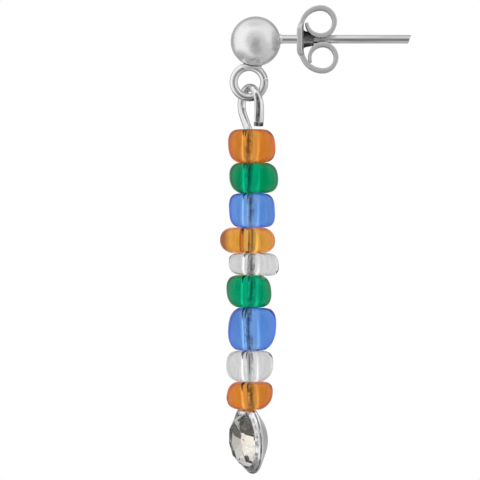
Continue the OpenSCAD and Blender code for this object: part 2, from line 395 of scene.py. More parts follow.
# %% [markdown]
# ## The clutch, as a line
# A butterfly clutch is one strip of springy metal. A press cuts its outline and draws a collar through the
# middle, and the two tongues are rolled round until they squeeze the post. It could be cut out of a block,
# but is made here as the strip that it is, along a line of arcs and one straight stretch, seen from the
# side as (y, z): from the tip of one curl, down the plate, to the tip of the other.

# %% Clutch line
PLATE_Y, STRIP_T, PLATE_W, PLATE_H, TONGUE_W, CORNER = 1.65, 0.36, 3.8, 2.6, 2.6, 0.6
UP, UP_R = np.array([3.19, 1.38]), 1.12
LOW, LOW_R = np.array([3.38, -1.48]), 1.05
TIP, TIP_L, STRIP_GAP = 0.6, 1.4, 0.06


def line(a, b, steps):
    """Evenly spaced points from a to b, without b."""
    return np.array(a) + (np.array(b) - np.array(a)) * np.linspace(0, 1, steps, endpoint=False)[:, None]


lead_up, lead_low = UP[0] - PLATE_Y, LOW[0] - PLATE_Y
lead_up_z, lead_low_z = UP[1] + UP_R - lead_up, LOW[1] - LOW_R + lead_low
strip, s = even(np.vstack([
    arc(UP, UP_R, -175, 90, 90), arc((UP[0], lead_up_z), lead_up, 90, 180, 40)[1:],
    line((PLATE_Y, lead_up_z), (PLATE_Y, lead_low_z), 20)[1:],
    arc((LOW[0], lead_low_z), lead_low, 180, 270, 40), arc(LOW, LOW_R, -90, 201, 96)[1:],
]), STRIP_GAP)
off_plate = 10 * (strip[:, 0] > PLATE_Y + 0.01)
middle = s[np.argmin(np.abs(strip[:, 1]) + off_plate)]
reach = np.clip((np.abs(s - middle) - (PLATE_H / 2 - CORNER)) / CORNER, 0, 1)
half_w = TONGUE_W / 2 + (PLATE_W - TONGUE_W) / 2 * np.sqrt(1 - reach ** 2)
half_t = STRIP_T / 2 * (TIP + (1 - TIP) * np.clip(np.minimum(s, s[-1] - s) / TIP_L, 0, 1))
print("the clutch is a strip of", round(s[-1], 1), "mm")

# %% [markdown]
# ## The clutch, as a strip
# A rounded rectangle is carried along the line. A bevel on a plain strip would round its edges too, but
# here the section's own corner arcs do it, and the plate's two wings bow back as the press left them. The
# hole and the groove in each curl are one round cut along the post, which is a job for a boolean.

# %% Clutch strip
EDGE_R, WING_BOW, POST_FIT = 0.07, 0.18, 0.03
PER_CORNER, PER_FLAT = 6, 7


def rolled_strip(path, half_width, half_t, edge, s):
    """Strip with rounded edges along a path in the YZ plane. Round the strip, the corner arcs of radius edge
    stand half_width - edge out along X and half_t - edge out along the path's own normal. Between the corners
    the flats have points of their own, and beyond the tongues' width they bow along Y by WING_BOW."""
    n, q = PER_CORNER, np.pi / 2
    corner, flat = np.radians(np.linspace(2, 88, n)), np.linspace(0.6, -0.6, PER_FLAT)
    a = np.concatenate([corner, np.full(PER_FLAT, q), corner + q,
                        corner + 2 * q, np.full(PER_FLAT, 3 * q), corner + 3 * q])
    u = np.concatenate([np.ones(n), flat, -np.ones(2 * n), -flat, np.ones(n)])
    v = np.repeat([1, -1], 2 * n + PER_FLAT)
    tangent = np.gradient(path, axis=0)
    tangent /= np.linalg.norm(tangent, axis=1)[:, None]
    normal = np.stack([-tangent[:, 1], tangent[:, 0]], 1)
    x = u * (half_width[:, None] - edge) + edge * np.cos(a)
    t = v * (half_t[:, None] - edge) + edge * np.sin(a)
    yz = path[:, None] + t[..., None] * normal[:, None]
    beyond = np.clip((np.abs(x) - TONGUE_W / 2) / (PLATE_W / 2 - TONGUE_W / 2), 0, 1)
    yz[..., 0] -= WING_BOW * beyond ** 1.5
    return np.concatenate([x[..., None], yz], -1), np.stack([x, t, np.broadcast_to(s[:, None], x.shape)], -1)


def cut_through(piece, radius, y0, y1):
    """Drills piece along the post's axis with a boolean cut, and applies it."""
    tool_grid = along_post(turned(np.array([[radius, y0], [radius, y1]]), POST_AROUND))
    points, faces, _ = skin(tool_grid, [[0, y0, 0], [0, y1, 0]])
    mesh = bpy.data.meshes.new("drill")
    mesh.from_pydata((points * MM).tolist(), [], faces)
    drill = bpy.data.objects.new("drill", mesh)
    bpy.context.scene.collection.objects.link(drill)
    cut = piece.modifiers.new("drill", "BOOLEAN")
    cut.operation, cut.solver, cut.object = "DIFFERENCE", "EXACT", drill
    bpy.context.view_layer.update()
    done = bpy.data.meshes.new_from_object(piece.evaluated_get(bpy.context.evaluated_depsgraph_get()))
    piece.modifiers.clear()
    piece.data = done
    bpy.data.objects.remove(drill)
    done.set_sharp_from_angle(angle=np.radians(35))
    print(f"{piece.name}: {len(done.vertices)} points after the cut")


strip_grid, strip_strand = rolled_strip(strip, half_w, half_t, EDGE_R, s)
strip_skin = skin(strip_grid, [np.append([0], strip[0]), np.append([0], strip[-1])], strip_strand)
spring = build("clutch_strip", strip_skin, rolled_silver, "clutch", "stamped_silver", ["clutch"])
cut_through(spring, POST_R + POST_FIT, 0.5, 6)

# %% [markdown]
# ## The collar
# The press draws metal out of the plate into a short collar round the post. The whole collar is painted
# brown and dark in spots: painted shade, for the shade behind the plate. It is one turned ring: outside,
# rounded end and bore.

# %% Clutch collar
COLLAR_L, COLLAR_END_R = 0.78, 0.06
back = PLATE_Y + STRIP_T / 2
bore = POST_R + POST_FIT
collar_profile = np.vstack([
    [[bore, back - 0.1]], [[0.80, back - 0.1], [0.74, back + 0.03], [0.66, back + 0.14]],
    line((0.64, back + 0.2), (0.54, back + COLLAR_L), 6),
    arc((0.465, back + COLLAR_L), COLLAR_END_R, 0, 180, 8),
    [[bore, back + 0.7]],
])
collar = skin(along_post(turned(collar_profile, 64)))
# painted shade: the whole collar is darkened, as it lies in the shade behind the plate
collar_painted_shade = np.ones(len(collar[0]))
build("clutch_collar", collar, rolled_silver, "clutch", "stamped_silver", ["clutch"], dull=collar_painted_shade)

# %% [markdown]
# ## The pin's line
# One length of wire makes the eye and carries the beads. It starts at a cut end above the first bead,
# climbs the near side of the eye, comes over the top and down the far side, and turns into the pin. A free
# curve could follow it, but pliers make arcs and straights, so it is made of those, in one upright plane
# turned by 31 degrees. The short leg bows out a little.

# %% Pin line
PIN_Y, EYE_R, EYE_TURN, LEG_AT, CUT_Z, EYE_Z, BEND_R = -2.45, 1.30, np.radians(31), 40, -6.97, -5.17, 0.5
FLAT_Z, LEG_BOW, BOW_TOP, PIN_IN = -29.63, 0.12, 0.6, 0.2

leg_cos, leg_sin = np.cos(np.radians(LEG_AT)), np.sin(np.radians(LEG_AT))
leg_from = np.array([-EYE_R * leg_cos, EYE_Z - EYE_R * leg_sin])
leg_z = leg_from[1] - EYE_R * leg_cos * leg_cos / leg_sin
bend_t = BEND_R * np.tan(np.radians(LEG_AT / 2))
leg_to = np.array([-bend_t * leg_sin, leg_z + bend_t * leg_cos])
flat_path = np.vstack([
    line((EYE_R, CUT_Z), (EYE_R, EYE_Z), 12), arc((0, EYE_Z), EYE_R, 0, 180 + LEG_AT, 120)[:-1],
    line(leg_from, leg_to, 8), arc((-BEND_R, leg_z - bend_t), BEND_R, LEG_AT, 0, 14)[:-1],
    line((0, leg_z - bend_t), (0, FLAT_Z - PIN_IN), 120),
])
bow_z = EYE_Z + BOW_TOP
leg = (flat_path[:, 0] > 0) & (flat_path[:, 1] < bow_z)
flat_path[leg, 0] += LEG_BOW * np.sin(np.pi * (bow_z - flat_path[leg, 1]) / (bow_z - CUT_Z))
flat_x, flat_z = flat_path.T
pin = np.stack([flat_x * np.cos(EYE_TURN), PIN_Y + flat_x * np.sin(EYE_TURN), flat_z], 1)
print("the pin's line has", len(pin), "points")

# %% [markdown]
# ## The pin in the beads
# A drawn pin is never quite straight. Each bead has a side step for the pin inside it, and half waves join
# them, so the wire wanders by up to 0.18 mm. A noise would do as well, but then the wire would not lie in
# each bead as it should. The beads' other values, which shape them below, stand in the same table.

# %% Beads' table
# one row per bead, top to bottom: colour, how full its top and bottom corners are (exponents), its lean
# to the back from top to bottom, the slope of its lower end and the pin's side step in it, in mm or mm per mm
BEADS = [
    ("orange", 2.66, 2.60, 0.16, 0.00, -0.10),
    ("green", 2.46, 2.26, 0.16, 0.00, 0.00),
    ("blue", 3.15, 3.05, 0.13, 0.00, 0.07),
    ("amber", 2.15, 2.12, 0.07, 0.00, 0.10),
    ("clear", 2.95, 2.98, 0.17, -0.04, 0.18),
    ("green", 2.50, 2.43, 0.20, 0.00, 0.10),
    ("blue", 2.66, 2.15, -0.24, 0.00, -0.08),
    ("clear", 2.95, 2.00, -0.09, 0.00, -0.06),
    ("orange", 2.68, 2.03, -0.29, 0.00, 0.10),
]
BEND_STEP, FLAT_STEP = -0.13, 0.04
boxes = [np.array(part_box(f"bead_{i + 1}")) / MM for i in range(len(BEADS))]
bead_z = [box[:, 2].mean() for box in boxes]
step_z = np.array([EYE_Z, leg_z] + bead_z + [FLAT_Z])[::-1]
step_y = np.array([0, BEND_STEP] + [bead[-1] for bead in BEADS] + [FLAT_STEP])[::-1]


def pin_step(z):
    """Side step of the pin at a height: through each bead's value, with smooth half waves between them."""
    k = np.clip(np.searchsorted(step_z, z) - 1, 0, len(step_z) - 2)
    t = np.clip((z - step_z[k]) / (step_z[k + 1] - step_z[k]), 0, 1)
    return step_y[k] + (step_y[k + 1] - step_y[k]) * (1 - np.cos(np.pi * t)) / 2


pin[:, 1] += pin_step(flat_z) * (flat_x <= 0) * (flat_z < EYE_Z)
print("heights of the beads' middles, mm:", np.round(bead_z, 2))

# %% [markdown]
# ## The pin's wire
# Pliers held the short leg while the eye was bent. Their jaws flattened it and left a groove down its
# front, which is black, as is the cut end. The groove's black is partly oxide and partly a painted
# reflection: the dark line that runs down the front of the leg. The wire inside the beads is only dull. The
# groove is a share worked out at each point, and the same share drives both the shape and the black.

# %% Pin
LEG_PRESS, PRESS_L, PRESS_END = 0.3, 1.5, 1.2
GROOVE_AT, GROOVE_W, GROOVE_DEEP, GROOVE_L, GROOVE_END = -13, 20, 0.22, 2.7, 0.35
GROOVE_WAVE, GROOVE_TURN, GROOVE_FROM = 5, 3.1, 0.25
CUT_DULL, CUT_L, CUT_EDGE, BEADS_DULL, BEADS_FROM, BEADS_EDGE, PIN_AROUND = 0.8, 0.4, 0.15, 0.5, 0.1, 0.25, 48


def pressed(s):
    """The pliers' mark on the cut leg: full over its first PRESS_L, and gone PRESS_END further along."""
    t = np.clip((s - PRESS_L) / PRESS_END, 0, 1)
    return LEG_PRESS * (1 + np.cos(np.pi * t)) / 2


def groove(points, path, s):
    """The jaw's groove down the cut leg: exp(-(angle / width) ** 2) round it, over its first GROOVE_L mm.
    Along the wire its angle wanders by GROOVE_WAVE degrees."""
    out = points - path[:, None]
    turn = np.degrees(np.arctan2(out[..., 1], out[..., 0])) - GROOVE_AT
    turn += GROOVE_WAVE * np.sin(GROOVE_TURN * s)[:, None]
    ends = np.clip(np.minimum(s - GROOVE_FROM, GROOVE_L - s) / GROOVE_END, 0, 1)
    return GROOVE_DEEP * np.exp(-(turn / GROOVE_W) ** 2) * ends[:, None]


plane_normal = np.array([-np.sin(EYE_TURN), np.cos(EYE_TURN), 0])
pin_skin = wire(pin, plane_normal, PIN_AROUND, pressed, groove)
fine_pin, s_pin = even(pin, WIRE_GAP)
pin_rings = pin_skin[0][:-2].reshape(len(fine_pin), PIN_AROUND, 3)
# painted reflection: the black in the groove also paints the dark line reflected down the leg's front
groove_painted_dark = groove(pin_rings, fine_pin, s_pin).ravel() / GROOVE_DEEP
in_beads = np.clip((boxes[0][1, 2] - BEADS_FROM - pin_skin[0][:, 2]) / BEADS_EDGE, 0, 1)
cut_end = np.clip((CUT_L - s_pin) / CUT_EDGE, 0, 1).repeat(PIN_AROUND)
blackened_and_painted_dark = np.append(DEEP * np.maximum(groove_painted_dark, CUT_DULL * cut_end), [2, 0])
pin_dull_and_painted_dark = np.maximum(blackened_and_painted_dark, BEADS_DULL * in_beads)
build("pin_wire", pin_skin, drawn_silver, "drop", "polished_silver", ["drop_pin"], dull=pin_dull_and_painted_dark)

# %% [markdown]
# ## The setting's outline
# The cup is spun from thin sheet: a cone with a flat back, a rim with a fine bead and a groove behind it,
# and a lip burnished over the crystal's edge. A spun thing is a turned one, so its outline is drawn by few
# points, and cutting its corners three times makes smooth curves of them. The inside is the seat, a little
# clear of the crystal.

# %% Setting outline
CUP_R, CUP_Z, CUP_TURN, CUP_LEAN, CUP_DEPTH, BACK_R = 2.88, -31.90, 22, 5, 1.10, 1.31
STONE_R, GIRDLE_Z, GIRDLE_T, CROWN, BACK, TABLE_R = 2.25, 0.28, 0.12, 52, 26, 1.50
STONE_LOW, STONE_TURN = 0.13, 8
CULET_R, SEAT_FIT, AXIS_R = 0.35, 0.07, 0.004


def soften(profile, times=3, share=0.25):
    """Rounds a profile's corners: each point becomes two, at share and 1 - share of the way to the next."""
    for _ in range(times):
        step = np.diff(profile, axis=0)
        cut = np.stack([profile[:-1] + share * step, profile[1:] - share * step], 1).reshape(-1, 2)
        profile = np.vstack([profile[:1], cut, profile[-1:]])
    return profile


culet_z = GIRDLE_Z - GIRDLE_T - (STONE_R - CULET_R) * np.tan(np.radians(BACK))
seat_z = culet_z - SEAT_FIT
outside = soften(np.array([
    (AXIS_R, -CUP_DEPTH), (BACK_R - 0.3, -CUP_DEPTH), (BACK_R + 0.05, -CUP_DEPTH + 0.08),
    (CUP_R - 0.12, -0.08), (CUP_R, 0.0), (CUP_R + 0.01, 0.08), (CUP_R - 0.05, 0.135), (CUP_R - 0.10, 0.10),
    (CUP_R - 0.13, 0.15), (CUP_R - 0.18, 0.25), (CUP_R - 0.30, 0.37), (CUP_R - 0.41, 0.45),
    (CUP_R - 0.52, 0.51), (CUP_R - 0.64, 0.50), (STONE_R - 0.06, 0.43), (STONE_R + 0.02, 0.33),
]))
inside = np.array([(STONE_R + 0.03, 0.10), (CULET_R + 0.01, seat_z), (AXIS_R, seat_z)])
profile = np.vstack([outside, inside])
print("the setting's outline has", len(profile), "points")

# %% [markdown]
# ## The setting
# The turned cup is leaned and turned into its place below the pin. The crystal sits a little low in it, so
# the lip and the seat follow it down. On top the rim is filed flat for the pin's solder: pressing every
# point above that level down onto it does the same, with a soft step as its edge. The wall of the lip is
# painted brown and black in ragged spots: painted shade. The groove behind the rim's bead is darkened the
# same way, partly as oxide in it and partly as painted shade.

# %% Setting
CUP_AROUND, FLAT_EDGE = 160, 0.06
LIP_FROM, LIP_L = 0.42, 0.2
LIP_SHADE, LIP_SHADE_FROM, LIP_SHADE_L, GROOVE_RIM, GROOVE_HALF, FACE_Z = 0.6, 0.2, 0.1, 0.11, 0.07, 0.1


def in_setting(points):
    """From the setting's own axes (Z out of its face) to the frame: lean about X, turn about Z, then move."""
    a, b = np.radians(90 + CUP_LEAN), np.radians(CUP_TURN)
    lean = np.array([[1, 0, 0], [0, np.cos(a), -np.sin(a)], [0, np.sin(a), np.cos(a)]])
    face = np.array([[np.cos(b), -np.sin(b), 0], [np.sin(b), np.cos(b), 0], [0, 0, 1]])
    return points @ (face @ lean).T + [0, PIN_Y, CUP_Z]


past_rim = np.arange(len(profile)) > np.argmax(profile[:, 0])
from_rim = CUP_R - profile[:, 0]
with_stone = np.clip((from_rim - LIP_FROM) / LIP_L, 0, 1) * past_rim
cup = turned(profile, CUP_AROUND)
cup[..., 1] -= STONE_LOW * with_stone[:, None]
cup = in_setting(cup)
below = FLAT_Z - cup[..., 2]
pressed_down = FLAT_EDGE * np.exp(np.minimum(below - FLAT_EDGE, 0) / FLAT_EDGE)
cup[..., 2] = FLAT_Z - np.where(below < FLAT_EDGE, pressed_down, below)
on_lip, in_corner = (from_rim - LIP_SHADE_FROM) / LIP_SHADE_L, 1 - np.abs(from_rim - GROOVE_RIM) / GROOVE_HALF
# painted shade: the lip's wall is darkened in ragged spots; the groove behind the rim gets oxide and painted
# shade together
lip_painted_shade = LIP_SHADE * np.clip(on_lip, 0, 1) * (profile[:, 1] > FACE_Z)
corner = np.clip(in_corner, 0, 1) ** 0.5 * (profile[:, 1] > FACE_Z - 0.01)
cup_dull_and_painted_shade = np.append(np.repeat(np.maximum(lip_painted_shade, corner), CUP_AROUND), [0, 0])
cup_skin = skin(cup, in_setting(np.array([[0, 0, -CUP_DEPTH], [0, -STONE_LOW, seat_z]])))
build("setting_cup", cup_skin, spun_silver, "drop", "polished_silver", ["drop_pin"], sharp=50, dull=cup_dull_and_painted_shade)

# %% [markdown]
# ## The solder on the setting
# The pin's solder ran onto the lip and set there as a small lump, flat on top under the last bead. Again an
# egg shape is enough, pressed down to the filed flat.

# %% Setting solder
LUMP, LUMP_AT = np.array([0.72, 0.34, 0.36]), np.array([0, CUP_R - 0.78, 0.42])
lump = in_setting(turned(arc((0, 0), 1.0, -88, 88, 33), 64) * LUMP + LUMP_AT)
lump_ends = in_setting(LUMP_AT + [[0, 0, -LUMP[2]], [0, 0, LUMP[2]]])
lump[..., 2] = np.minimum(lump[..., 2], FLAT_Z)
lump_skin = skin(lump, lump_ends)
build("setting_solder", lump_skin, barrel_silver, "drop", "polished_silver", ["drop_pin"], sharp=50)

# %% [markdown]
# ## The crystal's facets
# A cut stone is what is left when planes have been ground away. A mesh could be modelled corner by corner,
# but a cutter thinks in slopes: each facet is a plane, given by its slope and one point on it. The front
# has a table, 8 star, 8 main and 16 upper facets. The back has its 8 main facets alone, because among many
# more foiled ones rays run round until the renderer gives them up, and leave black shards.

# %% Facets
# half the angle between two main facets, in degrees
HALF = 22.5
STAR_SHARE, GIRDLE_SIDES = 0.55, 32
half_cos, quarter_cos = np.cos(np.radians(HALF)), np.cos(np.radians(HALF / 2))
table_z = GIRDLE_Z + (STONE_R - TABLE_R) * np.tan(np.radians(CROWN))
star_r = TABLE_R + STAR_SHARE * (STONE_R - TABLE_R)
star_z = GIRDLE_Z + (STONE_R - star_r * half_cos) * np.tan(np.radians(CROWN))
star = np.degrees(np.arctan((table_z - star_z) / (star_r - TABLE_R * half_cos)))
upper = np.degrees(np.arctan((star_z - GIRDLE_Z) / ((STONE_R - star_r) * quarter_cos)))


def facets(count, start, slope, radius, height):
    """Planes as rows (normal, distance): count round the axis, tipped by slope, through (radius, height)."""
    a, t = np.radians(start + np.arange(count) * 360 / count), np.radians(slope)
    normal = np.stack([np.sin(t) * np.cos(a), np.sin(t) * np.sin(a), np.full(count, np.cos(t))], 1)
    return np.column_stack([normal, np.full(count, np.sin(t) * radius + np.cos(t) * height)])


front = [facets(1, 0, 0, 0, table_z), facets(8, 0, CROWN, STONE_R, GIRDLE_Z),
         facets(8, HALF, star, star_r, star_z), facets(16, HALF / 2, upper, STONE_R * quarter_cos, GIRDLE_Z)]
behind = [facets(GIRDLE_SIDES, 0, 90, STONE_R, 0), facets(8, 0, 180 - BACK, STONE_R, GIRDLE_Z - GIRDLE_T),
          facets(1, 0, 180, 0, culet_z)]
planes = np.vstack(front + behind)
print(len(planes), "planes; the star facets slope", round(star, 1), "degrees, upper ones", round(upper, 1))

# %% [markdown]
# ## The crystal's solid
# Every corner is where three planes meet and nothing has been ground off. A block could be cut by one plane
# after another, but for 74 planes it is simpler to let numpy solve all the triples at once. The corners on
# a plane, in order round their middle, are its facet.

# %% Corners


def ground(planes):
    """Corners and faces of the solid inside all planes, and the plane that each face lies on."""
    triples = np.array(list(itertools.combinations(range(len(planes)), 3)))
    sets = planes[triples]
    solid = np.abs(np.linalg.det(sets[..., :3])) > 1e-6
    corners = np.linalg.solve(sets[solid][..., :3], sets[solid][..., 3:])[..., 0]
    kept = corners[(corners @ planes[:, :3].T <= planes[:, 3] + 1e-6).all(1)]
    corners = np.unique(np.round(kept, 5), axis=0)
    faces, owners = [], []
    for owner, plane in enumerate(planes):
        on = np.flatnonzero(np.abs(corners @ plane[:3] - plane[3]) < 1e-4)
        if len(on) < 3:
            continue
        middle = corners[on].mean(0)
        u = corners[on[0]] - middle
        v = np.cross(plane[:3], u)
        flat = (corners[on] - middle) @ np.stack([u / np.linalg.norm(u), v / np.linalg.norm(v)], 1)
        faces.append(on[np.argsort(np.arctan2(flat[:, 1], flat[:, 0]))].tolist())
        owners.append(owner)
    return corners, faces, owners


corners, faces, owners = ground(planes)
turn = np.radians(STONE_TURN)
stone_turn = np.array([[np.cos(turn), np.sin(turn), 0], [-np.sin(turn), np.cos(turn), 0], [0, 0, 1]])
stone_points = in_setting(corners @ stone_turn + [0, -STONE_LOW, 0])
print("crystal:", len(corners), "corners,", len(faces), "facets")

# %% [markdown]
# ## Glass
# The beads are wound glass, tumbled in a hot drum until their edges run. The colour is in the glass and not
# on it, so light loses more of the other colours the further it travels inside. A tinted surface would look
# like film, so an absorbing volume does the work, and gives the pale line where the hole makes the way
# short. The surface adds what the volume can't: a faint ripple, fine seeds that cloud it, painted shade
# that deepens the rims, standing in for light that runs round inside a real bead for longer than the
# renderer follows it, and the brown end of the amber bead, which the flame burnt. The wall of the hole
# stays clear, or it would count twice. What the surface mirrors is tinted too, because in a row of beads
# that light comes from the neighbours' glass.

# %% Glass finishes
DEPTH_MM, RIPPLE_MM, SEEDS_MM = 3.4, 0.9, 0.35
BURNT, WHITE = "#7A4A42", (1.0, 1.0, 1.0, 1.0)


def glass(name, tint, gleam, ior=1.51, streak=0.009, edge=1.6):
    """Clear smooth glass whose body turns white light into tint over DEPTH_MM: by Beer's law each colour is
    absorbed by -ln(tint) / depth a metre, and the volume node wants that as density * (1 - colour). streak is
    the ripple's depth in mm, edge the power of tint that the painted rim shade takes, gleam the tint of what
    it mirrors."""
    material, tree, out = blank(name)
    loss = -np.log(np.clip(linear(tint)[:3], 0.0008, 0.995)) / (DEPTH_MM * MM)
    density = loss.max()
    place = add(tree, "TexCoord").outputs["Object"]
    pulled = add(tree, "Mapping", {"Scale": (1.0, 1.0, 0.2)}, {"Vector": place}).outputs["Vector"]
    ripple = add(tree, "TexNoise", {"Scale": 1 / (RIPPLE_MM * MM), "Detail": 1.5},
                 {"Vector": pulled}).outputs["Fac"]
    seeds = add(tree, "TexNoise", {"Scale": 1 / (SEEDS_MM * MM), "Detail": 4.0, "Roughness": 0.65},
                {"Vector": pulled}).outputs["Fac"]
    bump = add(tree, "Bump", {"Strength": 1.0, "Distance": streak * MM}, {"Height": ripple})
    rough = add(tree, "MapRange", {"To Min": 0.0, "To Max": 0.03}, {"Value": ripple})
    cloud = add(tree, "ValToRGB", {"stops": [(0.36, 0.74), (0.56, 1.0)]}, {"Fac": seeds})
    # painted shade: the base colour deepens towards the tint at grazing angles, so the rims look darker
    aslant = add(tree, "LayerWeight", {"Blend": 0.5}).outputs["Facing"]
    deep = np.array(linear(tint)) ** edge
    rim_painted_shade = add(tree, "ValToRGB", {"stops": [(0.25, 1.0), (0.5, (1 + deep) / 2), (0.72, deep)]},
              {"Fac": aslant})
    shade = add(tree, "Mix", {"data_type": "RGBA", "blend_type": "MULTIPLY", 0: 1.0},
                {6: cloud.outputs["Color"], 7: rim_painted_shade.outputs["Color"]}).outputs[2]
    burnt = add(tree, "Attribute", {"attribute_name": "burnt"}).outputs["Fac"]
    shade = add(tree, "Mix", {"data_type": "RGBA", 7: linear(BURNT)},
                {0: burnt, 6: shade}).outputs[2]
    outside = add(tree, "Attribute", {"attribute_name": "outside"}).outputs["Fac"]
    shade = add(tree, "Mix", {"data_type": "RGBA", 6: WHITE}, {0: outside, 7: shade}).outputs[2]
    shader = add(tree, "BsdfPrincipled",
                 {"Transmission Weight": 1.0, "IOR": ior, "Specular Tint": linear(gleam)},
                 {"Base Color": shade, "Roughness": rough.outputs["Result"],
                  "Normal": bump.outputs["Normal"]})
    tree.links.new(shader.outputs["BSDF"], out.inputs["Surface"])
    body = add(tree, "VolumeAbsorption",
               {"Color": (*(1 - loss / density), 1.0), "Density": density})
    tree.links.new(body.outputs["Volume"], out.inputs["Volume"])
    print(f"{name}: loses {np.round(loss * MM, 2)} of red, green and blue a mm, as powers of e")
    return material


# wound round a wire and fire-polished: saturated colour, bright columns beside the hole, soft streaks
GLASS = {colour: glass(f"glass_{colour}_wound_fire_polished", tint, gleam) for colour, tint, gleam in (
    ("orange", "#EC8E34", "#6A3408"), ("green", "#00A66D", "#003A22"), ("blue", "#69A0F4", "#203A80"),
    ("amber", "#FCBC5A", "#6A4410"), ("clear", "#F0F0F1", "#B8B8B8"))}

# %% [markdown]
# ## The crystal and its foil
# The crystal is cut and polished glass of a higher index, without ripple or rims. Silver foil behind it
# throws the light back out of the front. The foil could be a piece of its own, but two surfaces so close
# together would trap rays, so it is the finish of the back facets. It is a little rough, and only 0.84
# metal, because real foil scatters. A slow change of its colour, from cool to warm, is painted light: it
# stands for the fire of the cut, the coloured light that the facets split out.

# %% Crystal
crystal_glass = glass("crystal_cut_and_polished", "#FAFAF8", "#909090", ior=1.58, streak=0.0, edge=0.0)
FOIL_MM, PAINTED_FIRE_TINTS = 1.6, [(0.35, linear("#D3D7DE")), (0.5, linear("#E4E4E2")), (0.65, linear("#EADDD2"))]

# silver foil, pressed onto facets: a bright mirror with cool and warm patches of painted fire
foil, tree, out = blank("silver_foil_behind_crystal")
place = add(tree, "TexCoord").outputs["Object"]
painted_fire = add(tree, "TexNoise", {"Scale": 1 / (FOIL_MM * MM), "Detail": 1.0}, {"Vector": place})
tint = add(tree, "ValToRGB", {"stops": PAINTED_FIRE_TINTS}, {"Fac": painted_fire.outputs["Fac"]}).outputs["Color"]
shader = add(tree, "BsdfPrincipled", {"Metallic": 0.84, "Roughness": 0.08}, {"Base Color": tint})
tree.links.new(shader.outputs["BSDF"], out.inputs["Surface"])

stone_skin = (outward(stone_points, faces), faces, stone_points)
stone = build("crystal_cut", stone_skin, crystal_glass, "drop", "cut_crystal", ["crystal"], sharp=2)
stone.data.materials.append(foil)
front_count = sum(len(f) for f in front)
foiled = np.array([owner >= front_count for owner in owners], np.int32)
stone.data.polygons.foreach_set("material_index", foiled)
print("facets with foil:", foiled.sum())

# %% [markdown]
# ## The beads
# A fire-polished bead is a barrel: across its side the outline is a squared oval, |r|^n + |z|^n = 1, whose
# exponent n says how full its corners are. A rounded cylinder would show straight sides, which melted glass
# never has. The outline rolls over a small lip into the hole. No two beads are alike, so each has its own
# exponents, leans a little, and has its hole off the middle. Place and size come from the frame.

# %% Beads
HOLE_R, LIP_R, SHOULDER, SETTLE = 0.575, 0.10, 1.1, 0.04
BEAD_AROUND, SIDE_STEPS, LIP_STEPS = 96, 36, 7
UNROUND, BURNT_IN, BURNT_L = 0.006, 0.75, 0.4


def bead_profile(radius, height, n_top, n_low):
    """(radius, height) rows of one bead: down the outside by the squared oval, round the lip, up the hole."""
    halves = []
    for n in (n_top, n_low):
        a = np.pi / 2 * np.linspace(1, 0, SIDE_STEPS)
        side_r, side_z = radius - SHOULDER * (1 - np.cos(a) ** (2 / n)), height / 2 * np.sin(a) ** (2 / n)
        side = np.stack([side_r, side_z], 1)
        halves.append(np.vstack([line((HOLE_R + LIP_R, height / 2), side[0], 5), side]))
    top, bottom = halves[0], halves[1][::-1] * [1, -1]
    high = top[0, 1]
    lip = arc((HOLE_R + LIP_R, LIP_R - high), LIP_R, -90, -180, LIP_STEPS)[1:] + [0, bottom[-1, 1] + high]
    wall = line((HOLE_R, 2 * LIP_R - high), (HOLE_R, high - 2 * LIP_R), 10)
    lip_up = arc((HOLE_R + LIP_R, high - LIP_R), LIP_R, 180, 90, LIP_STEPS)[:-1]
    return np.vstack([top, bottom[1:], lip, wall, lip_up])


def bead_grid(box, n_top, n_low, lean, slope, seed):
    """Rings of one bead, and the profile's radii. Outside, each ring's radius is times 1 + UNROUND *
    (sin(2a + seed) + 0.6 sin(3a + 2.1 seed)), and its middle leans; near the hole it follows the hole's."""
    radius, height = (box[1, 0] - box[0, 0]) / 2, box[1, 2] - box[0, 2] + SETTLE
    centre = np.array([0, box[:, 1].mean(), box[:, 2].mean()])
    hole_y = (centre[1] + PIN_Y) / 2
    profile = bead_profile(radius, height, n_top, n_low)
    a = np.linspace(0, 2 * np.pi, BEAD_AROUND, endpoint=False)
    r, z = profile[:, :1], profile[:, 1:]
    out = np.clip((r - HOLE_R) / (0.5 * radius), 0, 1)
    out = out * out * (3 - 2 * out)
    hand = 1 + out * UNROUND * (np.sin(2 * a + seed) + 0.6 * np.sin(3 * a + 2.1 * seed))
    x = r * np.cos(a) * hand
    y = r * np.sin(a) * hand + out * (centre[1] - lean * z / height) + (1 - out) * hole_y
    z = z + slope * (y - centre[1]) * np.clip(-2 * z / height, 0, 1) ** 2 + 0 * x
    return np.stack([x, y, z + centre[2]], -1), profile[:, 0]


for i, (colour, n_top, n_low, lean, slope, _) in enumerate(BEADS):
    grid, profile_r = bead_grid(boxes[i], n_top, n_low, lean, slope, i + 1)
    burnt = np.clip((boxes[i][0, 1] + BURNT_IN - grid[..., 1]) / BURNT_L, 0, 1).ravel() * (colour == "amber")
    outside = np.repeat(profile_r > HOLE_R + LIP_R, BEAD_AROUND).astype(float)
    build(f"bead_{i + 1}_glass", skin(grid), GLASS[colour], "drop", f"glass_{colour}",
          [f"bead_{i + 1}"], sharp=60, burnt=burnt, outside=outside)

# %% [markdown]
# ## The floor
# A plain pale floor lies below the hanging earring: a round sheet of matt paper, because a square plane
# would show a corner from some side. The metal and the glass don't see it: the tent below has its own grey
# there.

# %% Floor
FLOOR_Y, FLOOR_Z, FLOOR_R, FLOOR_SIDES = -0.003, -0.050, 0.30, 96
PAPER = [(0.3, linear("#EFEFEE")), (0.7, linear("#F6F6F5"))]

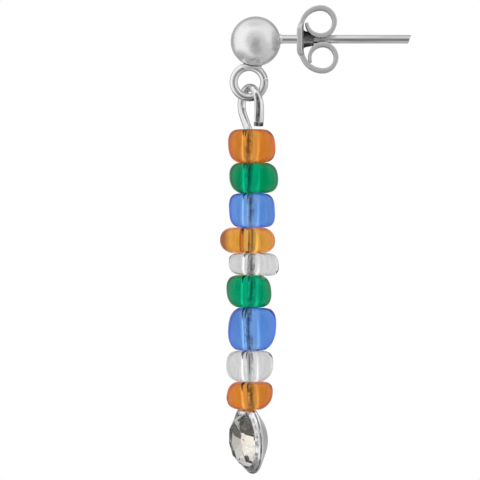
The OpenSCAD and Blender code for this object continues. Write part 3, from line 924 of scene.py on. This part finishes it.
# matt paper: white without gloss, with a faint cloud of fibres, 900 a metre or 1.1 mm wide
paper, tree, out = blank("floor_paper_matt")
place = add(tree, "TexCoord").outputs["Object"]
fibre = add(tree, "TexNoise", {"Scale": 900.0, "Detail": 3.0}, {"Vector": place}).outputs["Fac"]
cloud = add(tree, "ValToRGB", {"stops": PAPER}, {"Fac": fibre}).outputs["Color"]
shader = add(tree, "BsdfPrincipled", {"Roughness": 0.9}, {"Base Color": cloud})
tree.links.new(shader.outputs["BSDF"], out.inputs["Surface"])
edge = turned(np.array([[FLOOR_R, 0.0]]), FLOOR_SIDES)[0] + [0, FLOOR_Y, FLOOR_Z]
floor_mesh = bpy.data.meshes.new("floor")
floor_mesh.from_pydata(edge.tolist(), [], [list(range(FLOOR_SIDES))])
floor_mesh.materials.append(paper)
floor = bpy.data.objects.new("floor", floor_mesh)
bpy.context.scene.collection.objects.link(floor)
floor.visible_transmission = floor.visible_glossy = False
print("floor:", 2 * FLOOR_R, "m across, at", FLOOR_Z, "m")

# %% [markdown]
# ## The light tent
# Polished metal is only as good as what it mirrors. A photographer hangs such a thing in a tent of white
# cloth, and lays grey and black cards round it until dark lines draw its edges. Lamps and planes could be
# set up too, but the tent is far away in every direction, so the world alone can hold it: white light,
# times a ramp over the angle from some direction for each card. Some cards act only on light that comes off
# metal, or that has come through glass. On a set they would stand close to the one and be hidden from the
# other.

# %% Tent
BRIGHT = 1.25
world = bpy.data.worlds.new("light_tent")
bpy.context.scene.world = world
world.use_nodes = True
tree = world.node_tree
tree.nodes.clear()
direction = add(tree, "TexCoord").outputs["Generated"]
rays = add(tree, "LightPath").outputs
through_glass = rays["Is Transmission Ray"]
off_metal = add(tree, "Math", {"operation": "SUBTRACT", "use_clamp": True},
                {0: rays["Is Glossy Ray"], 1: through_glass}).outputs[0]


def towards(theta, phi):
    """Direction theta degrees off the camera's axis, +X, phi round it: 0 up, 90 right, 180 down, 270 left."""
    a, b = np.radians(theta), np.radians(phi)
    return np.cos(a), np.sin(a) * np.sin(b), np.sin(a) * np.cos(b)


def card(theta, phi, stops):
    """Share of the light over the angle from a direction. stops are (degrees from it, share), far to near,
    and the ramp runs over (cos + 1) / 2 of that angle."""
    cosine = add(tree, "VectorMath", {"operation": "DOT_PRODUCT", 1: towards(theta, phi)},
                 {0: direction}).outputs["Value"]
    place = add(tree, "MapRange", {"From Min": -1.0, "From Max": 1.0}, {"Value": cosine})
    shares = [((np.cos(np.radians(degrees)) + 1) / 2, share) for degrees, share in stops]
    band = add(tree, "ValToRGB", {"stops": shares}, {"Fac": place.outputs["Result"]})
    return band.outputs["Color"]


# %% [markdown]
# ## The cards
# Each row is one card: its direction, its greys from far to near, and the rays that see it. A card
# multiplies the light of those rays alone, which a Mix node does when the rays' own flag is its factor.

# %% Cards
CARDS = [
    # soft grey behind, white at the sides, and grey where the camera stands
    (0, 0, [(180, 0.72), (150, 0.72), (125, 0.76), (100, 0.9), (75, 0.98), (60, 0.98), (45, 0.75), (35, 0.62),
            (0, 0.6)], None),
    # the table below, and the open top of the tent
    (90, 0, [(180, 0.6), (150, 0.8), (120, 1), (45, 1), (30, 0.95), (9, 0.69), (0, 0.65)], None),
    # the right side is a little less bright than the left
    (90, 90, [(180, 1), (120, 1), (90, 0.95), (60, 0.88), (30, 0.86), (0, 0.85)], None),
    # the corner at the lower right
    (85, 135, [(180, 1), (55, 1), (30, 0.75), (0, 0.7)], None),
    # the opening for the lens
    (5, 150, [(180, 1), (27, 1), (17, 0.56), (6, 0.44), (0, 0.42)], None),
    # a dark ring behind, which draws the outlines of ball and wire
    (0, 0, [(180, 0.62), (156, 0.6), (149, 0.36), (134, 0.3), (121, 0.8), (115, 1), (0, 1)], off_metal),
    # two grey cards low at the left and under the lens, which darken the underside of the metal
    (105, 215, [(180, 1), (34, 1), (22, 0.5), (0, 0.4)], off_metal),
    (38, 180, [(180, 1), (32, 1), (20, 0.55), (0, 0.5)], off_metal),
    # a black card low at the left, which the upper facets of the crystal throw back
    (88, 226, [(180, 1), (36, 1), (31, 0.16), (0, 0.08)], through_glass),
    # grey cloth at the left, which deepens the glass at the right of each bead
    (90, 90, [(180, 1), (152, 1), (142, 0.86), (112, 0.86), (95, 0.93), (80, 1), (0, 1)], through_glass),
    # a bright band round the sides, which lights the columns beside the beads' holes
    (0, 0, [(180, 1), (130, 1), (118, 1.25), (88, 1.25), (76, 1), (0, 1)], through_glass),
]
light = None
for theta, phi, stops, seen_by in CARDS:
    dimmed = add(tree, "Mix", {"data_type": "RGBA", "blend_type": "MULTIPLY", 0: 1.0, 6: WHITE},
                 {7: card(theta, phi, stops)})
    if light:
        tree.links.new(light, dimmed.inputs[6])
    if seen_by:
        tree.links.new(seen_by, dimmed.inputs[0])
    light = dimmed.outputs[2]

# the camera itself sees plain white behind the earring
backdrop = (1 / BRIGHT, 1 / BRIGHT, 1 / BRIGHT, 1.0)
shown = add(tree, "Mix", {"data_type": "RGBA", 7: backdrop}, {0: rays["Is Camera Ray"], 6: light})
background = add(tree, "Background", {"Strength": BRIGHT}, {"Color": shown.outputs[2]})
add(tree, "OutputWorld", (), {"Surface": background.outputs["Background"]})
print("tent:", len(CARDS), "cards")

# %% [markdown]
# ## The camera
# The photograph was taken from the side, level with the earring and from well back, so the post and the pin
# show no perspective. An orthographic camera would do, but this one stands 0.4 m away, as a real one does,
# and its focal length follows from the width that it sees. Colours go straight to the screen, without a
# film curve.

# %% Camera
VIEW_AT, VIEW_FROM, VIEW_WIDTH, SENSOR = np.array([0, -3.25, -16.06]) * MM, 0.40, 38.4 * MM, 36.0
camera = bpy.data.cameras.new("camera")
camera.sensor_width = SENSOR
camera.lens = SENSOR * VIEW_FROM / VIEW_WIDTH
camera.clip_start, camera.clip_end = 0.01, 10
camera_object = bpy.data.objects.new("camera", camera)
camera_object.location = VIEW_AT + [VIEW_FROM, 0, 0]
camera_object.rotation_euler = (np.pi / 2, 0, np.pi / 2)
bpy.context.scene.collection.objects.link(camera_object)
bpy.context.scene.camera = camera_object
bpy.context.scene.view_settings.view_transform = "Standard"
print("lens:", round(camera.lens), "mm")
